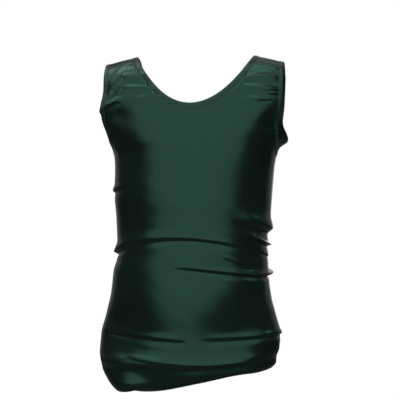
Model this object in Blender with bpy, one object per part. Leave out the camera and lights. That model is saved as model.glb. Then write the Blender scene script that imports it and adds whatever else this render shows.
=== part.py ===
"""Sleeveless stretch dance romper for a child, in the hollow form that it takes when it is worn.

The row frame is metres, +Z up. The garment faces -Y, and +X is the wearer's left. The origin lies midway
between the two shoulder straps, level with their undersides, where the shoulders carry them. Every size
below is in millimetres and every angle in degrees, unless its name says otherwise.

The cloth is described on a general figure: rings around the trunk, read from the SECTIONS table. A place on
it is given by how far along the cloth it lies below the neck point, and by its angle round the trunk, which
is 0 at the front middle, 90 at the wearer's left side, 180 at the back middle and -90 at the right side.
"""

import math

import bpy
import numpy as np

MM = 0.001

CLOTH_WALL = 1.4
SEAM_GAP = 0.3
BAND_WIDTH = 8.0
BAND_GAP = 0.4
# Across a band, from its free edge to the panel: how far in from the edge, how far its outer face stands out, and
# how deep its inner face lies.
BAND_COLUMNS = ("inset", "proud", "deep")
BAND_PROFILE = ((0.0, 0.1, 1.4), (3.8, 0.7, 1.8), (BAND_WIDTH, 0.2, 1.6))

FRONT = -1
BACK = 1
RIGHT = -1
LEFT = 1

# The rings of the figure. Along is the length of cloth below the neck point (negative over the shoulder),
# drop is how far down that is, then the half width, the front and back depths, how square the ring is
# (2 is an ellipse), how far its middle sways to the left, and how much lower its two sides lie than its middle.
SECTION_COLUMNS = (
    "along", "drop", "half_width", "front", "back", "square", "sway", "right_lower", "left_lower",
)
SECTIONS = (
    (-30.0, 0.0, 147.0, 0.0, 0.0, 2.40, 2.0, 2.0, -2.0),
    (-16.0, 1.5, 147.0, 17.0, 18.0, 2.40, 2.0, 2.0, -2.0),
    (-1.0, 7.0, 147.0, 35.0, 37.0, 2.40, 2.0, 2.0, -2.0),
    (13.0, 16.0, 147.0, 48.0, 50.0, 2.40, 2.0, 2.0, -2.0),
    (28.0, 29.0, 145.5, 57.0, 60.0, 2.40, 2.0, 1.5, -1.5),
    (52.0, 52.0, 141.8, 64.0, 69.0, 2.38, 1.5, 0.5, -0.5),
    (70.0, 70.0, 138.0, 68.0, 74.0, 2.34, 1.0, 0.0, 0.0),
    (100.0, 100.0, 128.5, 73.5, 80.0, 2.22, 0.5, 0.0, 0.0),
    (118.0, 118.0, 121.0, 75.5, 81.5, 2.16, 0.5, 0.0, 0.0),
    (133.0, 133.0, 114.8, 76.5, 82.0, 2.12, 1.8, 0.0, 0.0),
    (155.0, 155.0, 111.9, 77.0, 81.0, 2.10, 0.8, 0.0, 0.0),
    (200.0, 200.0, 110.0, 77.0, 75.0, 2.06, -1.8, -5.0, 12.0),
    (228.0, 228.0, 107.0, 76.5, 71.5, 2.05, -2.4, -4.0, 22.0),
    (256.0, 256.0, 105.5, 76.5, 66.0, 2.04, -2.0, 17.0, 12.0),
    (297.0, 297.0, 109.2, 77.0, 69.0, 2.03, -4.2, 3.0, 9.0),
    (335.0, 335.0, 112.5, 78.0, 80.0, 2.02, -4.5, -5.0, -3.0),
    (370.0, 370.0, 119.5, 78.5, 90.0, 2.02, -4.5, -11.0, -10.0),
    (403.0, 403.0, 126.6, 78.5, 94.0, 2.04, -5.0, -14.0, -14.0),
    (420.0, 420.0, 126.5, 78.0, 93.0, 2.06, -6.5, -8.0, -16.0),
    (436.0, 436.0, 122.5, 77.0, 90.0, 2.10, -6.5, -1.0, -19.0),
    (446.0, 444.0, 118.0, 75.5, 86.0, 2.15, -3.0, 6.0, -17.0),
    (452.0, 449.5, 111.5, 72.0, 81.0, 2.20, -0.5, 10.0, -17.5),
)
SECTION = {name: np.array(values) for name, values in zip(SECTION_COLUMNS, zip(*SECTIONS))}
RIDGE = SECTIONS[0][0]
TURN = SECTIONS[-1][0]

# The shoulders slope: the strap's outer edge lies lower than the neck point.
NECK_POINT_HEIGHT = 5.65
SLOPE_HEIGHT = 10.95
SLOPE_DROP = 16.0
SLOPE_AT = 127.0
SLOPE_POWER = 2.6
SLOPE_FADES = (20.0, 130.0)

# The finished neck edge is a scoop, from the neck point down to the middle, on each side. It sits a little
# to the left.
NECK_HALF_WIDTH = 83.0
NECK_SHIFT = 1.6
NECK_DROP = {FRONT: 70.0, BACK: 98.0}
NECK_DOWN_POWER = {FRONT: 1.15, BACK: 1.30}
NECK_OUT_POWER = {FRONT: 2.0, BACK: 2.6}
STRAP_ENDS = {FRONT: 58.0, BACK: 88.0}

# The finished armhole edge lies at this share of the ring's depth just below the shoulder, where it is widest,
# and rounds from there to the underarm.
ARMHOLE_SHARE = 0.63
ARMHOLE_SHARE_PER_MM = 0.0080
ARMHOLE_WIDEST = 2.0
ARMHOLE_BOTTOM = 133.0

# The underside: the cloth turns under the hips to two oval leg openings beside the crotch.
BOTTOM_DROP = 469.2
BOTTOM_RISE = 0.32
BOTTOM_RISE_FROM = -46.0
BOTTOM_RISE_SOFT = 12.0
UNDER_POWER = 6.0
UNDER_HOLLOW = 12.0
UNDER_HOLLOW_REACH = (0.40, 0.96)
LEG_MIDDLE = 57.0
LEG_BACKWARD = 6.0
LEG_HALF_WIDTH = 28.0
LEG_HALF_LENGTH = 44.0
CROTCH_SHIFT = 3.0
# Each leg opening's outer half takes the cloth from the side round to this angle on the turn.
LEG_FRONT_ANGLE = 40.0

# The largest folds. Each runs from one angle to another, and its groove passes three lengths along the cloth, at
# its start, middle and end. Its crest, just above, stands out by three amounts, and its height is the roll's own.
FOLD_COLUMNS = (
    "start", "end", "along_start", "along_middle", "along_end", "out_start", "out_middle", "out_end", "groove",
    "height",
)
FOLDS = {
    "right rib crease": (-118, -50, 200, 196, 186, 0.5, 2.4, 0.5, 1.0, 13),
    "upper waist roll": (22, 150, 221, 226, 235, 0.8, 5.4, 1.0, 1.6, 13),
    "waist roll": (-118, 42, 268, 252, 261, 9.0, 2.0, 1.0, 1.8, 12),
    "left waist roll": (50, 128, 234, 251, 255, 0.8, 5.0, 1.6, 1.2, 12),
    "lower waist roll": (-10, 124, 292, 298, 292, 1.0, 3.0, 12.0, 1.8, 10),
    "right hip crease": (-74, 2, 395, 392, 392, 1.0, 1.4, 0.6, 1.8, 12),
    "left hip crease": (9, 118, 390, 398, 406, 0.6, 1.4, 3.2, 1.4, 12),
    "low fold": (-76, 52, 433, 427, 437, 2.6, 3.4, 1.8, 4.6, 24),
    "back waist roll": (140, 244, 254, 262, 258, 1.4, 3.0, 2.0, 1.8, 14),
    "back loin crease": (172, 262, 306, 300, 296, 0.8, 2.4, 1.6, 1.6, 12),
    "back hip crease": (128, 222, 408, 414, 410, 1.0, 2.0, 1.0, 2.0, 14),
    "left strap ripple 1": (22, 52, 34, 24, 22, 0.8, 1.5, 1.1, 1.0, 10),
    "left strap ripple 2": (22, 53, 46, 42, 41, 1.0, 1.6, 1.3, 1.1, 10),
    "right strap crease": (-49, -37, 46, 34, 22, 0.5, 1.0, 0.4, 1.2, 7),
    "right strap ripple 1": (-36, -18, 21, 25, 30, 0.6, 1.2, 0.8, 0.9, 9),
    "right strap ripple 2": (-35, -16, 42, 44, 49, 0.6, 1.2, 0.8, 0.9, 9),
    "right armhole crease": (-62, -32, 84, 68, 66, 1.6, 1.4, 0.4, 1.6, 12),
    "back left strap ripple": (126, 154, 14, 10, 12, 0.8, 1.3, 0.9, 0.9, 14),
    "back right strap ripple": (-154, -126, 22, 18, 16, 0.8, 1.3, 0.9, 0.9, 14),
}
FOLD_SOFT_END = 0.16
CREST_ABOVE = 0.50
CREST_SPREAD = 0.42
GROOVE_SPREAD = 0.22

# Loose cloth that stands off the body beside the underarms, and the hollows of the groins: angle, along, out,
# and its spread in each.
GAPE_COLUMNS = ("angle", "along", "out", "angle_spread", "along_spread")
GAPES = {
    "left underarm": (118, 111, 16.0, 22, 14),
    "right armhole": (-62, 82, 8.0, 15, 18),
    "right groin hollow": (-43, 393, -7.0, 24, 34),
    "left groin hollow": (35, 394, -7.0, 24, 34),
}

# Columns of cloth across each panel: a strap, the neck, the other strap. Below, the same columns run to the outer
# half of a leg opening, the crotch, and the outer half of the other.
STRAP_COLUMNS = 6
NECK_COLUMNS = 12
COLUMNS = 2 * STRAP_COLUMNS + NECK_COLUMNS
STRAP_ROWS = {FRONT: 19, BACK: 14}
ARMHOLE_ROWS = {FRONT: 9, BACK: 6}
UNDER_ROWS = 3
CROTCH_ROWS = 5
# Rows below the underarm, as lengths along the cloth. They crowd at each fold: crest, slope, groove, and after.
ROWS = {
    FRONT: (
        156, 172, 184, 190, 195, 202, 210, 215, 219, 223, 227, 233, 239, 244, 248, 251, 254, 258, 264, 274, 283,
        288, 291, 294, 298, 304, 318, 335, 352, 370, 380, 385, 389, 392, 396, 402, 411, 418, 423, 427, 431, 436,
        441, 446,
    ),
    BACK: (
        160, 180, 193, 208, 217, 226, 236, 248, 255, 262, 269, 282, 293, 300, 307, 322, 342, 362, 382, 397, 405,
        412, 419, 428, 437, 446,
    ),
}

ROMPER_GREEN = (0.012, 0.042, 0.032, 1.0)
BAND_GREEN = (0.014, 0.046, 0.036, 1.0)
STRETCH_SATIN_ROUGHNESS = 0.42
SHARP_EDGE = 50.0


def clear_scene():
    for old in list(bpy.data.objects):
        bpy.data.objects.remove(old)


def ring(name, along):
    """One column of SECTIONS at lengths along the cloth: a cubic that never overshoots the rows."""
    places = SECTION["along"]
    values = SECTION[name]
    steps = np.diff(places)
    rises = np.diff(values) / steps
    slopes = np.zeros(len(values))
    slopes[0], slopes[-1] = rises[0], rises[-1]
    same_way = rises[:-1] * rises[1:] > 0
    both = rises[:-1] + rises[1:]
    slopes[1:-1] = np.where(same_way, 2 * rises[:-1] * rises[1:] / np.where(same_way, both, 1.0), 0.0)
    along = np.clip(along, places[0], places[-1])
    cell = np.clip(np.searchsorted(places, along, side="right") - 1, 0, len(steps) - 1)
    u = (along - places[cell]) / steps[cell]
    return (
        values[cell] * (1 + 2 * u) * (1 - u) ** 2
        + values[cell + 1] * u * u * (3 - 2 * u)
        + steps[cell] * u * (1 - u) * (slopes[cell] * (1 - u) - slopes[cell + 1] * u)
    )


def smooth_step(value, low, high):
    """0 below low, 1 above high, and an S curve between."""
    u = np.clip((value - low) / (high - low), 0.0, 1.0)
    return u * u * (3 - 2 * u)


def lower_by(along, across):
    """How much lower a ring is at a share of the way across it than at its middle: a tilt and a bow."""
    right, left = ring("right_lower", along), ring("left_lower", along)
    return (left - right) / 2 * across + (left + right) / 2 * across * across


def figure(side, along, angle):
    """Points of the plain figure. Angle is the panel's own, from -90 at the right side to 90 at the left."""
    turn = np.radians(angle)
    power = 2.0 / ring("square", along)
    across = np.sin(turn)
    x = ring("sway", along) + ring("half_width", along) * np.sign(across) * np.abs(across) ** power
    depth = ring("front" if side == FRONT else "back", along)
    y = side * depth * np.abs(np.cos(turn)) ** power
    slope = SLOPE_HEIGHT - SLOPE_DROP * (np.abs(x) / SLOPE_AT) ** SLOPE_POWER
    flat = smooth_step(along, *SLOPE_FADES)
    height = slope * (1 - flat) + NECK_POINT_HEIGHT * flat
    z = height - ring("drop", along) - lower_by(along, across)
    return np.stack([x, y, z], axis=-1)


def outward(side, along, angle):
    """The figure's outward direction at each place. On the seams it stays in the seam's own plane."""
    step = 0.5
    low, high = np.maximum(along - step, RIDGE), np.minimum(along + step, TURN)
    down = figure(side, high, angle) - figure(side, low, angle)
    right, left = np.maximum(angle - step, -90.0), np.minimum(angle + step, 90.0)
    over = figure(side, along, left) - figure(side, along, right)
    out = np.cross(down, over) * -side
    on_seam = (np.abs(angle) > 90.0 - 1e-6) | (along < RIDGE + 1e-6)
    out[..., 1] = np.where(on_seam, 0.0, out[..., 1])
    return out / np.linalg.norm(out, axis=-1, keepdims=True)


def through(start, middle, end, share):
    """The parabola through three values, at shares 0, a half and 1."""
    late, twice = 1 - share, 2 * share
    return start * late * (1 - twice) + middle * 2 * twice * late + end * share * (twice - 1)


def fold_relief(row, along, around):
    """How far one fold moves the cloth out: a crest above a groove, faded at both ends."""
    fold = dict(zip(FOLD_COLUMNS, row))
    run = (around - fold["start"]) / (fold["end"] - fold["start"])
    share = np.clip(run, 0.0, 1.0)
    fade = smooth_step(run, 0.0, FOLD_SOFT_END) * (1 - smooth_step(run, 1 - FOLD_SOFT_END, 1.0))
    course = through(fold["along_start"], fold["along_middle"], fold["along_end"], share)
    out = through(fold["out_start"], fold["out_middle"], fold["out_end"], share)
    below = (along - course) / fold["height"]
    crest = np.exp(-(((below + CREST_ABOVE) / CREST_SPREAD) ** 2))
    groove = np.exp(-((below / GROOVE_SPREAD) ** 2))
    return fade * (np.maximum(out, 0.0) * crest - fold["groove"] * groove)


def relief(along, around):
    """The folds, loose places and hollows together, as a distance out from the plain figure."""
    total = np.zeros(np.broadcast(along, around).shape)
    for whole_turn in (-360.0, 0.0, 360.0):
        for row in FOLDS.values():
            total = total + fold_relief(row, along, around + whole_turn)
        for row in GAPES.values():
            gape = dict(zip(GAPE_COLUMNS, row))
            off = (around + whole_turn - gape["angle"]) / gape["angle_spread"]
            up = (along - gape["along"]) / gape["along_spread"]
            total = total + gape["out"] * np.exp(-off * off - up * up)
    return total


def around_of(side, angle):
    """The angle round the whole trunk of a panel's own angle."""
    return angle if side == FRONT else np.where(angle < 0, -180.0 - angle, 180.0 - angle)


def cloth(side, along, angle):
    """Points of the cloth's outer face: the figure with its folds."""
    along, angle = np.broadcast_arrays(np.asarray(along, float), np.asarray(angle, float))
    out = relief(along, around_of(side, angle)) * (1 - smooth_step(along, TURN - 4, TURN))
    return figure(side, along, angle) + outward(side, along, angle) * out[..., None]


def angle_at(x, along):
    """The panel angle at which the figure reaches x."""
    share = np.clip(np.abs(x - ring("sway", along)) / ring("half_width", along), 0.0, 1.0)
    turn = np.degrees(np.arcsin(share ** (ring("square", along) / 2)))
    return np.sign(x - ring("sway", along)) * turn


def along_at(drop):
    """The length along the cloth at which it has dropped this far."""
    lengths = np.linspace(RIDGE, TURN, 2000)
    return np.interp(drop, ring("drop", lengths), lengths)


def neck_edge(side, hand, share, inset):
    """The neck edge, moved into the cloth by inset. Share is 0 at the neck point and 1 at the bottom."""
    drop = (NECK_DROP[side] + inset) * share
    out = (1 - share ** NECK_DOWN_POWER[side]) ** (1 / NECK_OUT_POWER[side])
    along = along_at(drop)
    return along, angle_at(hand * (NECK_HALF_WIDTH + inset) * out + NECK_SHIFT, along)


def neck_share(side, along, inset):
    return ring("drop", along) / (NECK_DROP[side] + inset)


def armhole_edge(side, hand, along, inset):
    """The armhole edge, moved into the cloth by inset, as an angle at each length along the cloth."""
    share = ARMHOLE_SHARE + ARMHOLE_SHARE_PER_MM * inset
    low = (along - ARMHOLE_WIDEST) / (ARMHOLE_BOTTOM + inset - ARMHOLE_WIDEST)
    share = share * np.sqrt(1 - np.clip(low, 0.0, 1.0) ** 2)
    return hand * np.degrees(np.arccos(share ** (ring("square", along) / 2)))


def evenly(curve, start, stop, count):
    """Parameters that cut curve, a function of one parameter, into pieces of equal length."""
    dense = np.linspace(start, stop, 600)
    steps = np.linalg.norm(np.diff(curve(dense), axis=0), axis=1)
    lengths = np.concatenate([[0.0], np.cumsum(steps)])
    return np.interp(np.linspace(0.0, lengths[-1], count + 1), lengths, dense)


def armhole_rows(side, inset):
    """Lengths along the cloth, from the strap's end to the underarm, evenly spaced on the armhole's edge."""

    def edge(along):
        return figure(side, along, armhole_edge(side, LEFT, along, inset))

    return evenly(edge, STRAP_ENDS[side], ARMHOLE_BOTTOM + inset, ARMHOLE_ROWS[side])


def strap_rows(side):
    return np.linspace(RIDGE, STRAP_ENDS[side], STRAP_ROWS[side] + 1)


def neck_shares(side, inset):
    """Shares of the neck edge between the strap's end and the bottom middle, evenly spaced."""

    def edge(share):
        return figure(side, *neck_edge(side, LEFT, share, inset))

    first = neck_share(side, STRAP_ENDS[side], BAND_WIDTH + BAND_GAP)
    return evenly(edge, first, 1.0, NECK_COLUMNS // 2)


def under_height(x, y):
    """The underside's height at a place in plan, a shallow bowl inside the ring where the cloth turns."""
    depth = np.where(y < 0, ring("front", TURN), ring("back", TURN))
    u = (x - ring("sway", TURN)) / ring("half_width", TURN)
    reach = np.maximum(np.hypot(u, y / depth), 1e-9)
    across = u / reach
    edge = NECK_POINT_HEIGHT - ring("drop", TURN) - lower_by(TURN, across)
    past = BOTTOM_RISE_SOFT * np.logaddexp(0.0, (x - BOTTOM_RISE_FROM) / BOTTOM_RISE_SOFT)
    middle = NECK_POINT_HEIGHT - BOTTOM_DROP + BOTTOM_RISE * past
    middle = middle + UNDER_HOLLOW * (1 - smooth_step(reach, *UNDER_HOLLOW_REACH))
    return middle + (edge - middle) * np.clip(reach, 0.0, 1.0) ** UNDER_POWER


def leg_oval(hand, turns, inset):
    """Plan places on a leg opening's edge, moved into the cloth by inset. Turn 0 is outermost, -90 its front."""
    turns = np.radians(turns)
    x = CROTCH_SHIFT + hand * (LEG_MIDDLE + (LEG_HALF_WIDTH + inset) * np.cos(turns))
    y = LEG_BACKWARD + (LEG_HALF_LENGTH + inset) * np.sin(turns)
    return x, y


def leg_turns(side):
    """Turns along the leg edge, front or back: its outer half, then its inner half to the crotch seam."""
    past = math.degrees(math.asin(LEG_BACKWARD / (LEG_HALF_LENGTH + BAND_WIDTH + BAND_GAP)))
    middle, inner = (-90.0, -180.0 + past) if side == FRONT else (90.0, 180.0 + past)
    return np.linspace(-past, middle, STRAP_COLUMNS + 1), np.linspace(middle, inner, CROTCH_ROWS + 1)


def turn_shares():
    """Where the columns cross the turn, from -1 at the right side to 1 at the left."""
    leg = np.linspace(-90.0, -LEG_FRONT_ANGLE, STRAP_COLUMNS + 1)
    crotch = np.linspace(-LEG_FRONT_ANGLE, LEG_FRONT_ANGLE, NECK_COLUMNS + 1)[1:-1]
    return np.concatenate([leg, crotch, -leg[::-1]]) / 90.0


def body_grid(side):
    """Along and angle for every point from the straps' ends down to where the cloth turns under."""
    inset = BAND_WIDTH + BAND_GAP
    top = STRAP_ENDS[side]
    arm = armhole_edge(side, LEFT, np.array(top), inset)
    halves = []
    for hand in (RIGHT, LEFT):
        neck_along, neck_angle = neck_edge(side, hand, neck_shares(side, inset), inset)
        strap = np.linspace(hand * arm, neck_angle[0], STRAP_COLUMNS + 1)
        halves.append(
            (
                np.concatenate([np.full(STRAP_COLUMNS, top), neck_along]),
                np.concatenate([strap[:-1], neck_angle]),
            )
        )
    top_along = np.concatenate([halves[0][0], halves[1][0][-2::-1]])
    top_angle = np.concatenate([halves[0][1], halves[1][1][-2::-1]])

    edge_rows = armhole_rows(side, inset)
    under_arm = edge_rows[-1]
    rows_down = np.concatenate([edge_rows, np.array(ROWS[side], float), [TURN]])
    low_shares = turn_shares()
    near_edge = np.abs(top_angle / arm) ** 6
    along, angle = [], []
    for number, row in enumerate(rows_down):
        if row <= under_arm:
            step = number / ARMHOLE_ROWS[side]
            middle_row = top_along + (under_arm - top_along) * step
            edge_row = top_along + (under_arm - top_along) * (row - top) / (under_arm - top)
            line = middle_row + (edge_row - middle_row) * near_edge
            reach = armhole_edge(side, LEFT, row, inset)
        else:
            line = np.full(COLUMNS + 1, row)
            reach = 90.0
        spread = smooth_step(row, top, 403.0)
        share = top_angle / arm + (low_shares - top_angle / arm) * spread
        along.append(line)
        angle.append(share * reach)
    return np.array(along), np.array(angle)


def strap_grid(side, hand):
    """Along and angle for one strap, from the shoulder seam to its end, armhole edge first."""
    inset = BAND_WIDTH + BAND_GAP
    rows = strap_rows(side)
    arm = armhole_edge(side, hand, rows, inset)
    neck = neck_edge(side, hand, neck_share(side, rows, inset), inset)[1]
    across = np.linspace(0.0, 1.0, STRAP_COLUMNS + 1)
    angle = arm[:, None] + (neck - arm)[:, None] * across
    return np.broadcast_to(rows[:, None], angle.shape), angle


def under_out(x, y):
    """The underside's outward direction at a place in plan. On the crotch seam it stays in that plane."""
    step = 0.5
    rise_x = (under_height(x + step, y) - under_height(x - step, y)) / (2 * step)
    rise_y = (under_height(x, y + step) - under_height(x, y - step)) / (2 * step)
    rise_y = np.where(np.abs(y) < 1e-6, 0.0, rise_y)
    out = np.stack([rise_x, rise_y, -np.ones_like(rise_x)], axis=-1)
    return out / np.linalg.norm(out, axis=-1, keepdims=True)


def under_grids(side, turn_row):
    """Grids of points and outward directions: the turn to the leg openings, then on to the crotch seam."""
    inset = BAND_WIDTH + BAND_GAP
    outer, inner = leg_turns(side)
    right_x, right_y = leg_oval(RIGHT, outer, inset)
    left_x, left_y = leg_oval(LEFT, outer[::-1], inset)
    right_y[0] = left_y[-1] = 0.0
    across = np.linspace(0.0, 1.0, NECK_COLUMNS + 1)[1:-1]
    end_x = np.concatenate([right_x, right_x[-1] + (left_x[0] - right_x[-1]) * across, left_x])
    end_y = np.concatenate([right_y, np.full_like(across, right_y[-1]), left_y])
    steps = np.linspace(0.0, 1.0, UNDER_ROWS + 1)[:, None]
    x = turn_row[:, 0] + (end_x - turn_row[:, 0]) * steps
    y = turn_row[:, 1] + (end_y - turn_row[:, 1]) * steps
    under = np.stack([x, y, under_height(x, y)], axis=-1)
    under[0] = turn_row

    right_x, right_y = leg_oval(RIGHT, inner, inset)
    left_x, left_y = leg_oval(LEFT, inner, inset)
    right_y[-1] = 0.0
    across = np.linspace(0.0, 1.0, NECK_COLUMNS + 1)
    crotch_x = right_x[:, None] + (left_x - right_x)[:, None] * across
    crotch_y = np.broadcast_to(right_y[:, None], crotch_x.shape)
    crotch = np.stack([crotch_x, crotch_y, under_height(crotch_x, crotch_y)], axis=-1)
    return (under, under_out(x, y)), (crotch, under_out(crotch_x, crotch_y))


def on_cloth(side, along, angle):
    """Points of the cloth's outer face, and the plain figure's outward directions there."""
    along, angle = np.broadcast_arrays(np.asarray(along, float), np.asarray(angle, float))
    return cloth(side, along, angle), outward(side, along, angle)


def quads(rows, columns, first, closed, flip):
    """The faces of a grid, as corner numbers. Its own corners are numbered row by row, from first."""
    faces_across = columns if closed else columns - 1
    row, column = np.meshgrid(np.arange(rows - 1), np.arange(faces_across), indexing="ij")
    top, beside = row * columns, (column + 1) % columns
    corners = [top + column, top + columns + column, top + columns + beside, top + beside]
    faces = first + np.stack(corners, axis=-1).reshape(-1, 4)
    return faces[:, ::-1] if flip else faces


def wall(name, grids, proud, deep, colour, closed=False, flip=False):
    """A closed wall on grids of points and outward directions, from proud of the points to deep below them."""
    outer, inner, faces, count = [], [], [], 0
    for points, out in grids:
        rows, columns = points.shape[:2]
        faces.append(quads(rows, columns, count, closed, flip))
        outer.append((points + out * proud).reshape(-1, 3))
        inner.append((points - out * deep).reshape(-1, 3))
        count += rows * columns
    outer, inner, faces = (np.concatenate(parts) for parts in (outer, inner, faces))
    kept, number = np.unique(np.round(outer, 2), axis=0, return_index=True, return_inverse=True)[1:]
    outer, inner, faces = outer[kept], inner[kept], number.reshape(-1)[faces]
    edges = {(int(a), int(b)) for face in faces for a, b in zip(face, np.roll(face, -1))}
    rims = [(b, a, a + len(kept), b + len(kept)) for a, b in edges if (b, a) not in edges]
    data = bpy.data.meshes.new(name)
    everything = faces.tolist() + (faces[:, ::-1] + len(kept)).tolist() + sorted(rims)
    data.from_pydata((np.concatenate([outer, inner]) * MM).tolist(), [], everything)
    data.update()
    data.shade_smooth()
    data.set_sharp_from_angle(angle=math.radians(SHARP_EDGE))
    data.materials.append(stretch_satin(name, colour))
    bpy.context.scene.collection.objects.link(bpy.data.objects.new(name, data))


def stretch_satin(name, colour):
    made = bpy.data.materials.new(f"{name}_cloth")
    made.use_nodes = True
    shader = made.node_tree.nodes["Principled BSDF"]
    shader.inputs["Base Color"].default_value = colour
    shader.inputs["Roughness"].default_value = STRETCH_SATIN_ROUGHNESS
    shader.inputs["Metallic"].default_value = 0.0
    return made


def panel(name, side):
    """A whole body panel, cut in one: both straps, the trunk, and the underside to the crotch seam."""
    body = on_cloth(side, *body_grid(side))
    right = on_cloth(side, *strap_grid(side, RIGHT))
    left = [grid[:, ::-1] for grid in on_cloth(side, *strap_grid(side, LEFT))]
    sheets = (body, right, left, *under_grids(side, body[0][-1]))
    grids = [(points + (0.0, side * SEAM_GAP / 2, 0.0), out) for points, out in sheets]
    wall(name, grids, 0.0, CLOTH_WALL, ROMPER_GREEN, flip=side == BACK)


def joined(front, back):
    """One closed run of points and outward directions, from the front's and the back's, which share both ends."""
    return tuple(np.concatenate([ahead, behind[-2:0:-1]]) for ahead, behind in zip(front, back))


def neck_ring(inset):
    """The neck edge all round, moved into the cloth by inset: the front, then the back."""
    runs = []
    for side in (FRONT, BACK):
        shares = neck_share(side, strap_rows(side), BAND_WIDTH + BAND_GAP)
        half = np.concatenate([shares[:-1], neck_shares(side, BAND_WIDTH + BAND_GAP)])
        right = neck_edge(side, RIGHT, half, inset)
        left = neck_edge(side, LEFT, half[-2::-1], inset)
        runs.append(on_cloth(side, *(np.concatenate(pair) for pair in zip(right, left))))
    return joined(*runs)


def armhole_ring(hand, inset):
    """One armhole's edge all round, moved into the cloth by inset: the front, then the back."""
    full = BAND_WIDTH + BAND_GAP
    shorter = (ARMHOLE_BOTTOM + inset - ARMHOLE_WIDEST) / (ARMHOLE_BOTTOM + full - ARMHOLE_WIDEST)
    runs = []
    for side in (FRONT, BACK):
        rows = np.concatenate([strap_rows(side)[:-1], armhole_rows(side, full)])
        rows = np.where(rows > ARMHOLE_WIDEST, ARMHOLE_WIDEST + (rows - ARMHOLE_WIDEST) * shorter, rows)
        runs.append(on_cloth(side, rows, armhole_edge(side, hand, rows, inset)))
    return joined(*runs)


def leg_ring(hand, inset):
    """One leg edge all round, moved into the cloth by inset."""
    runs = []
    for side in (FRONT, BACK):
        outer, inner = leg_turns(side)
        x, y = leg_oval(hand, np.concatenate([outer[:-1], inner]), inset)
        runs.append((np.stack([x, y, under_height(x, y)], axis=-1), under_out(x, y)))
    return joined(*runs)


def band(name, edge, flip=False):
    """An elastic band round an opening: a closed strip from the finished edge to the panel's edge."""
    profile = [dict(zip(BAND_COLUMNS, row)) for row in BAND_PROFILE]
    points, out = (np.array(grid) for grid in zip(*(edge(row["inset"]) for row in profile)))
    proud = np.array([row["proud"] for row in profile])[:, None, None]
    deep = np.array([row["deep"] for row in profile])[:, None, None]
    wall(name, [(points, out)], proud, deep, BAND_GREEN, closed=True, flip=flip)


clear_scene()
panel("front_panel", FRONT)
panel("back_panel", BACK)
band("neck_band", neck_ring)
for word, hand in (("right", RIGHT), ("left", LEFT)):
    band(f"armhole_band_{word}", lambda inset, hand=hand: armhole_ring(hand, inset), flip=hand == RIGHT)
    band(f"leg_band_{word}", lambda inset, hand=hand: leg_ring(hand, inset), flip=hand == RIGHT)
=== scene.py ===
import math

import bmesh
import bpy
import mathutils
import numpy as np
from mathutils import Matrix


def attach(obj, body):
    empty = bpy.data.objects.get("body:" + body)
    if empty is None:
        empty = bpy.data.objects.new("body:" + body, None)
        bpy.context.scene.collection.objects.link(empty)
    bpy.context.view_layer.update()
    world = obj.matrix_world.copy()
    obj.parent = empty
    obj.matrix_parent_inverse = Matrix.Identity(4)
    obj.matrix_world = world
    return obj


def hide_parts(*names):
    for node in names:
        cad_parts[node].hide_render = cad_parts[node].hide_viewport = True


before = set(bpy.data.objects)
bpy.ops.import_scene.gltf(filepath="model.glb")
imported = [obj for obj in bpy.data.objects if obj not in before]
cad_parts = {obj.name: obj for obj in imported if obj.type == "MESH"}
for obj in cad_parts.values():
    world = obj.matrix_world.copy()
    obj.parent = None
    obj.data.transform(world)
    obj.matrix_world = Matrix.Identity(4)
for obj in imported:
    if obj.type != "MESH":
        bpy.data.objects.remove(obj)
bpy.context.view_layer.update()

# The trunk and its front panel: one piece of satin stretch knit, cut whole with both straps and half of the
# seat, and sewn to the back panel at the shoulders, sides and crotch. It takes the figure of whoever wears it.

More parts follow.
